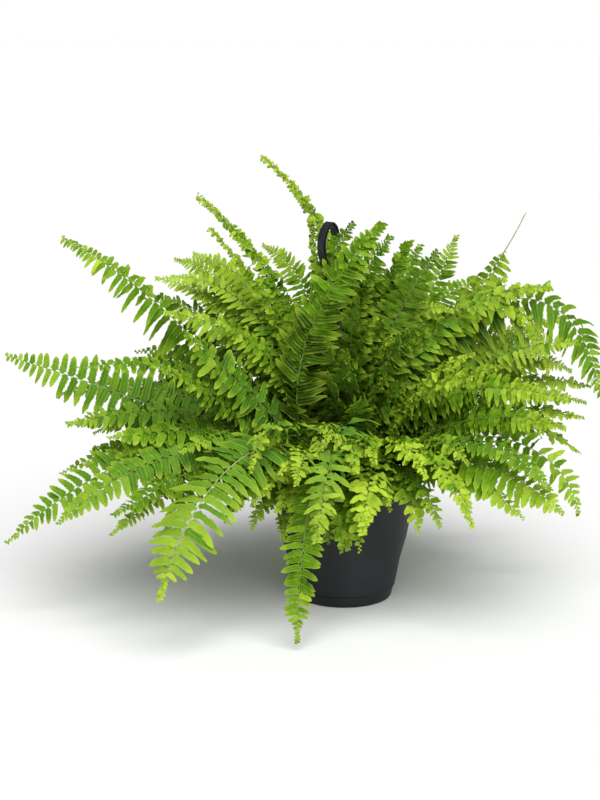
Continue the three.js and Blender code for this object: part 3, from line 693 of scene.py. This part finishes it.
# Groups of fronds inside the clump: how many, then the space their tips lie in as ranges across, in
# depth and above the rim, then launch pitch, tip pitch, blade width, tone and habits. Lengths are in mm
# and angles in degrees.
INNER_GROUPS = [
    # the upright fan in the middle, its low tones painted shade at its heart
    (6, (10, 95), (-30, 60), (290, 370), 88, 52, 82, 0.24, ("ribbed", "comb", "ruffled")),
    (11, (-90, 50), (-60, 120), (180, 310), 88, 50, 80, 0.16, ("ribbed", "comb", "ruffled")),
    (12, (20, 130), (-60, 120), (200, 330), 86, 50, 82, 0.18, ("comb", "ribbed", "ribbed", "ruffled")),
    (9, (-60, 120), (-130, -40), (110, 260), 84, 40, 70, 0.12, ("ribbed", "comb", "crinkled")),
    (4, (-35, 50), (-150, -90), (190, 290), 85, 50, 66, 0.18, ("ribbed", "ruffled")),
    # upper left and upper right
    (7, (-290, -190), (-40, 120), (240, 320), 76, 16, 70, 0.52, ("comb", "comb", "ribbed")),
    (9, (-240, -90), (-60, 140), (160, 300), 80, 34, 70, 0.46, ("comb", "open", "young", "ribbed")),
    (10, (130, 330), (-90, 130), (140, 300), 78, 10, 66, 0.52, ("fine", "curled", "comb", "ruffled")),
    # the two sides
    (11, (-370, -200), (-160, 120), (10, 200), 62, -8, 70, 0.36, ("open", "ribbed", "hanging", "broad")),
    (7, (-415, -340), (-80, 80), (10, 130), 50, -6, 76, 0.38, ("ribbed", "open", "broad")),
    (7, (230, 320), (-150, 120), (80, 240), 60, -16, 62, 0.56, ("fine", "curled", "crinkled")),
    (4, (310, 348), (-100, 80), (80, 190), 58, -10, 62, 0.56, ("fine", "crinkled")),
    # lower left and lower right
    (7, (-330, -170), (-230, -60), (0, 80), 50, -34, 60, 0.40, ("fine", "ribbed", "crinkled")),
    (5, (140, 290), (-230, -60), (-20, 70), 52, -40, 54, 0.48, ("fine", "ribbed", "crinkled")),
    # over the front of the rim
    (14, (-190, 60), (-235, -160), (-10, 100), 60, -50, 56, 0.64, ("crinkled", "fine", "ruffled")),
    (12, (-125, 20), (-150, -118), (-66, -6), 46, -66, 46, 0.56, ("fine", "crinkled", "comb")),
    (6, (30, 130), (-150, -118), (-30, 20), 46, -60, 42, 0.50, ("fine", "crinkled", "comb")),
    # the back
    (16, (-230, 230), (130, 280), (40, 270), 70, 0, 68, 0.38, ("comb", "broad", "open")),
    (14, (-260, 260), (120, 290), (-80, 80), 52, -46, 60, 0.36, ("broad", "fine")),
]
FRONDS_PER_PIECE = 12
TO_LIGHT = unit(np.array([0.10, -0.62, 0.78]))
MOST_TURN = radians(65)
FOOT_DEPTH = 5 * MM                  # the stalks start this far inside the crown's top


def turn_to_light(line, most):
    """How far, in radians, a frond turns about its stalk to show the light its upper side."""
    _, heads, _, ups = (rows[0] for rows in line.at(np.array([0.6])))
    wanted = across_of(TO_LIGHT, heads)
    swing = np.arctan2(np.dot(np.cross(wanted, ups), heads), np.dot(ups, wanted))
    return float(np.clip(swing, -most, most))


def inner_fronds():
    """Fronds that fill the clump between the held ones, each group spread over its own space."""
    dice = np.random.default_rng(7)
    made, foliage = 0, Foliage()
    for count, across, depth, rise, launch, tip_pitch, width, tone, habits in INNER_GROUPS:
        order = dice.permutation(count)
        for i in range(count):
            x = across[0] + (across[1] - across[0]) * (i + dice.random()) / count
            y = dice.uniform(*depth)
            tip = np.array([x, y, 0]) * MM
            height = rise[0] + (rise[1] - rise[0]) * (order[i] + dice.random()) / count
            tip[2] = RIM_HEIGHT + height * MM
            bearing = np.arctan2(y, x) + dice.normal(0, 0.15)
            ring = (0.12 + 0.80 * (90 - launch) / 45 * dice.uniform(0.6, 1.0)) * CROWN_HIGH.x
            foot = np.array([cos(bearing) * ring, sin(bearing) * ring, CROWN_HIGH.z - FOOT_DEPTH])
            pitch = radians(tip_pitch + dice.normal(0, 10))
            straight = arched_line(foot, bearing, radians(launch), tip, pitch, 0.0)
            roll = turn_to_light(straight, MOST_TURN) + dice.normal(0, 0.15)
            line = arched_line(foot, bearing, radians(launch), tip, pitch, roll)
            grow_frond(foliage, line, HABITS[habits[i % len(habits)]], width * dice.uniform(0.85, 1.15),
                       tone + dice.normal(0, 0.13), dice.uniform(0, 0.7), 0.2, 0.0, INNER_SEED + made, PLAIN)
            made += 1
            if made % FRONDS_PER_PIECE == 0:
                foliage.finish("inner_fronds_%02d" % (made // FRONDS_PER_PIECE))
                foliage = Foliage()
    if foliage.points:
        foliage.finish("inner_fronds_%02d" % (made // FRONDS_PER_PIECE + 1))


held_fronds()
inner_fronds()


# ---------------------------------------------------------------- soil and crown

def soft_noise(x, y, dice, waves=14, size=0.02):
    """A smooth bumpy field over x and y, about from -1 to 1."""
    field = np.zeros_like(x)
    for _ in range(waves):
        turn, pace = dice.uniform(0, 2 * pi), dice.uniform(0.6, 2.4) / size
        field += np.sin((x * cos(turn) + y * sin(turn)) * pace * 2 * pi + dice.uniform(0, 2 * pi))
    return field / waves ** 0.5 / 1.5


def disc_faces(rings, around):
    """The faces of a round sheet: a fan at its middle, then bands out to its edge."""
    faces = [(0, 1 + j, 1 + (j + 1) % around) for j in range(around)]
    for i in range(rings - 1):
        for j in range(around):
            a, b, nxt = 1 + i * around, 1 + (i + 1) * around, (j + 1) % around
            faces.append((a + j, b + j, b + nxt, a + nxt))
    return faces


def ball(centre, size, dice):
    """Corners and faces of one small crumb."""
    form = bmesh.new()
    bmesh.ops.create_icosphere(form, subdivisions=1, radius=size)
    points = np.array([v.co for v in form.verts]) * dice.uniform(0.6, 1.2, 3)
    points *= 1 + dice.normal(0, 0.12, (len(points), 1))
    faces = [tuple(v.index for v in f.verts) for f in form.faces]
    form.free()
    return points + centre, faces


CRUMBS, PALE_SHARE = 420, 0.08       # how many, and the share of pale ones
SOIL_FOOT = 0.62                     # the radius at the bottom of the soil beside that at its top


def soil():
    """The lumpy top of the potting mix and its side down to the bottom, with loose crumbs."""
    dice = np.random.default_rng(11)
    low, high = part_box("soil")
    top, radius, rings, around = high.z - 2 * MM, high.x - 0.5 * MM, 44, 120
    points, faces, pale = [[0, 0, top]], disc_faces(rings, around), [0.0]
    for i in range(1, rings + 1):
        for j in range(around):
            turn, r = 2 * pi * j / around, radius * i / rings
            points.append([cos(turn) * r, sin(turn) * r, top])
            pale.append(0.0)
    points = np.array(points)
    rough = soft_noise(points[:, 0], points[:, 1], dice, size=0.03)
    fine = soft_noise(points[:, 0], points[:, 1], dice, size=0.006)
    points[:, 2] += (rough * 1.5 + fine * 0.7 - 1.2) * MM
    edge = 1 + (rings - 1) * around
    deep = len(points)
    wall = points[edge:edge + around].copy()
    wall[:, :2] *= SOIL_FOOT
    wall[:, 2] = low.z + 1 * MM
    points = np.concatenate([points, wall])
    pale += [0.0] * around
    for j in range(around):
        nxt = (j + 1) % around
        faces.append((edge + j, deep + j, deep + nxt, edge + nxt))
    faces.append(tuple(deep + j for j in range(around))[::-1])
    for _ in range(CRUMBS):
        turn, r = dice.uniform(0, 2 * pi), radius * dice.uniform(0.25, 0.93) ** 0.6
        size = dice.uniform(0.6, 2.2) * MM
        centre = np.array([cos(turn) * r, sin(turn) * r, top - 1.6 * MM + size])
        crumb, crumb_faces = ball(centre, size, dice)
        faces += [tuple(len(points) + v for v in f) for f in crumb_faces]
        points = np.concatenate([points, crumb])
        pale += [float(dice.random() < PALE_SHARE)] * len(crumb)
    piece = new_piece("soil_bed", points, faces, [soil_material()], ["soil"])
    paint(piece, pale=pale)


SCALES = 900                         # on the crown
CROWN_SINK = 1.5 * MM                # the top lies this far under the solid's, to leave the scales room


def crown():
    """The knobbly root stock, covered with narrow brown scales."""
    dice = np.random.default_rng(13)
    low, high = CROWN_LOW, CROWN_HIGH
    radius, rise, rings, around = high.x - 1 * MM, high.z - low.z, 26, 72
    points = [[0, 0, high.z - CROWN_SINK]]
    faces = disc_faces(rings, around)
    for i in range(1, rings + 1):
        tilt = pi / 2 * i / rings
        for j in range(around):
            turn = 2 * pi * j / around
            points.append([cos(turn) * sin(tilt) * radius, sin(turn) * sin(tilt) * radius,
                           low.z + cos(tilt) * (rise - CROWN_SINK)])
    points = np.array(points)
    lumps = soft_noise(points[:, 0], points[:, 1], dice, size=0.018)
    shrink = 1 - 0.05 * np.clip(1 - lumps, 0, 2)
    points[:, :2] *= shrink[:, None]
    points[:, 2] = low.z + (points[:, 2] - low.z) * shrink
    faces.append(tuple(1 + (rings - 1) * around + j for j in range(around))[::-1])
    for _ in range(SCALES):
        turn, tilt = dice.uniform(0, 2 * pi), dice.uniform(0.1, 1.35)
        out = np.array([cos(turn) * sin(tilt), sin(turn) * sin(tilt), cos(tilt)])
        foot = out * [radius, radius, rise] * 0.94 + [0, 0, low.z]
        head = unit(out + dice.normal(0, 0.8, 3) + [0, 0, 0.7])
        wide = unit(np.cross(head, out)) * 0.5 * MM
        length, thick = dice.uniform(2.5, 5) * MM, out * 0.2 * MM
        room = max(0.2, min(1.0, (high.z - foot[2]) / length))
        tip = foot + head * length * room
        n = len(points)
        points = np.concatenate([points, [foot - wide, foot + wide, foot + thick, tip]])
        faces += [(n, n + 2, n + 3), (n + 2, n + 1, n + 3), (n + 1, n, n + 3), (n, n + 1, n + 2)]
    new_piece("root_stock", points, faces, [root_material()], ["root_crown"])


soil()
crown()


# ---------------------------------------------------------------- pot, saucer and hanger

SHARP = radians(32)                  # steeper edges than this stay crisp, with a small rounding


def soft_edges(limit):
    """A modifier tree that merges corners and smooths every face, with sharp edges past the limit."""
    tree = bpy.data.node_groups.new("soft_edges", "GeometryNodeTree")
    for way in ("INPUT", "OUTPUT"):
        tree.interface.new_socket("Geometry", in_out=way, socket_type="NodeSocketGeometry")
    add = tree.nodes.new
    begin, end = add("NodeGroupInput"), add("NodeGroupOutput")
    merge, faces, edges = (add("GeometryNodeMergeByDistance"), add("GeometryNodeSetShadeSmooth"),
                           add("GeometryNodeSetShadeSmooth"))
    angle, steep = add("GeometryNodeInputMeshEdgeAngle"), add("FunctionNodeCompare")
    merge.inputs["Distance"].default_value = SAME_SPOT
    edges.domain, edges.inputs["Shade Smooth"].default_value = "EDGE", False
    steep.data_type, steep.operation = "FLOAT", "GREATER_THAN"
    steep.inputs[1].default_value = limit
    for source, target in ((begin.outputs[0], merge.inputs["Geometry"]),
                           (merge.outputs["Geometry"], faces.inputs["Geometry"]),
                           (faces.outputs["Geometry"], edges.inputs["Geometry"]),
                           (angle.outputs["Unsigned Angle"], steep.inputs[0]),
                           (steep.outputs["Result"], edges.inputs["Selection"]),
                           (edges.outputs["Geometry"], end.inputs[0])):
        tree.links.new(source, target)
    return tree


def finish_solid(name, material, rounding, tree):
    """A CAD piece that stays in sight: rounded edges, smooth curves and a real material."""
    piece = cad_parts[name]
    piece.data.materials.clear()
    piece.data.materials.append(material)
    piece.modifiers.new("soft", "NODES").node_group = tree
    edge = piece.modifiers.new("bevel", "BEVEL")
    edge.width, edge.segments, edge.limit_method = rounding, 2, "ANGLE"
    edge.angle_limit, edge.harden_normals = SHARP, False


tree = soft_edges(SHARP)
pot_plastic = plastic_material("pot_plastic", (0.006, 0.0085, 0.0105), (0.013, 0.016, 0.018), 0.55)
saucer_plastic = plastic_material("saucer_plastic", (0.006, 0.008, 0.010), (0.012, 0.015, 0.017), 0.50)
hanger_plastic = plastic_material("hanger_plastic", (0.009, 0.010, 0.013), (0.018, 0.021, 0.028), 0.36)
finish_solid("pot", pot_plastic, 0.5 * MM, tree)
finish_solid("saucer", saucer_plastic, 0.4 * MM, tree)
finish_solid("hanger_hook", hanger_plastic, 0.5 * MM, tree)
for number in (1, 2, 3):
    finish_solid("hanger_arm_%d" % number, hanger_plastic, 0.3 * MM, tree)


# ---------------------------------------------------------------- studio

FLOOR_SIZE, FLOOR_DROP = 400, 0.2 * MM  # across, and under the saucer
SKY_LIGHT, HORIZON_LIGHT = 0.26, 1.0
FADE_FROM, FADE_TO = 0.03, 0.10      # sines of the angles between which the horizon's light fades
SUN_LIGHT, SUN_SPREAD = 3.7, radians(60)
SUN_HEADING = Vector((-0.18, 0.58, -0.78))  # the way its light goes
LENS, SENSOR = 74.98, 36             # mm
EYE_PLACE = (0, -2.3004, 0.7831)     # metres
EYE_PITCH, EYE_TURN = radians(77.777), radians(1.569)


def studio():
    """A pale floor, a sky that brightens to the horizon, a broad soft sun and the camera."""
    bpy.ops.mesh.primitive_plane_add(size=FLOOR_SIZE, location=(0, 0, -FLOOR_DROP))
    floor = bpy.context.object
    floor.name = "studio_floor"
    floor.data.materials.append(floor_material())
    world = bpy.data.worlds.new("studio")
    world.use_nodes = True
    nodes, links = world.node_tree.nodes, world.node_tree.links
    place, split, fade = (nodes.new("ShaderNodeTexCoord"), nodes.new("ShaderNodeSeparateXYZ"),
                          nodes.new("ShaderNodeMapRange"))
    fade.inputs["From Min"].default_value, fade.inputs["From Max"].default_value = FADE_FROM, FADE_TO
    fade.inputs["To Min"].default_value, fade.inputs["To Max"].default_value = HORIZON_LIGHT, SKY_LIGHT
    links.new(place.outputs["Generated"], split.inputs[0])
    links.new(split.outputs["Z"], fade.inputs["Value"])
    links.new(fade.outputs["Result"], nodes["Background"].inputs["Strength"])
    nodes["Background"].inputs["Color"].default_value = (1.0, 1.0, 1.0, 1)
    bpy.context.scene.world = world
    sun = bpy.data.lights.new("soft_sun", "SUN")
    sun.energy, sun.angle = SUN_LIGHT, SUN_SPREAD
    lamp = bpy.data.objects.new("soft_sun", sun)
    bpy.context.scene.collection.objects.link(lamp)
    lamp.rotation_euler = SUN_HEADING.to_track_quat("-Z", "Y").to_euler()
    camera = bpy.data.cameras.new("camera")
    camera.lens, camera.sensor_width = LENS, SENSOR
    eye = bpy.data.objects.new("camera", camera)
    bpy.context.scene.collection.objects.link(eye)
    eye.location = EYE_PLACE
    eye.rotation_euler = (EYE_PITCH, 0, EYE_TURN)
    bpy.context.scene.camera = eye
    bpy.context.scene.view_settings.view_transform = "Standard"


studio()
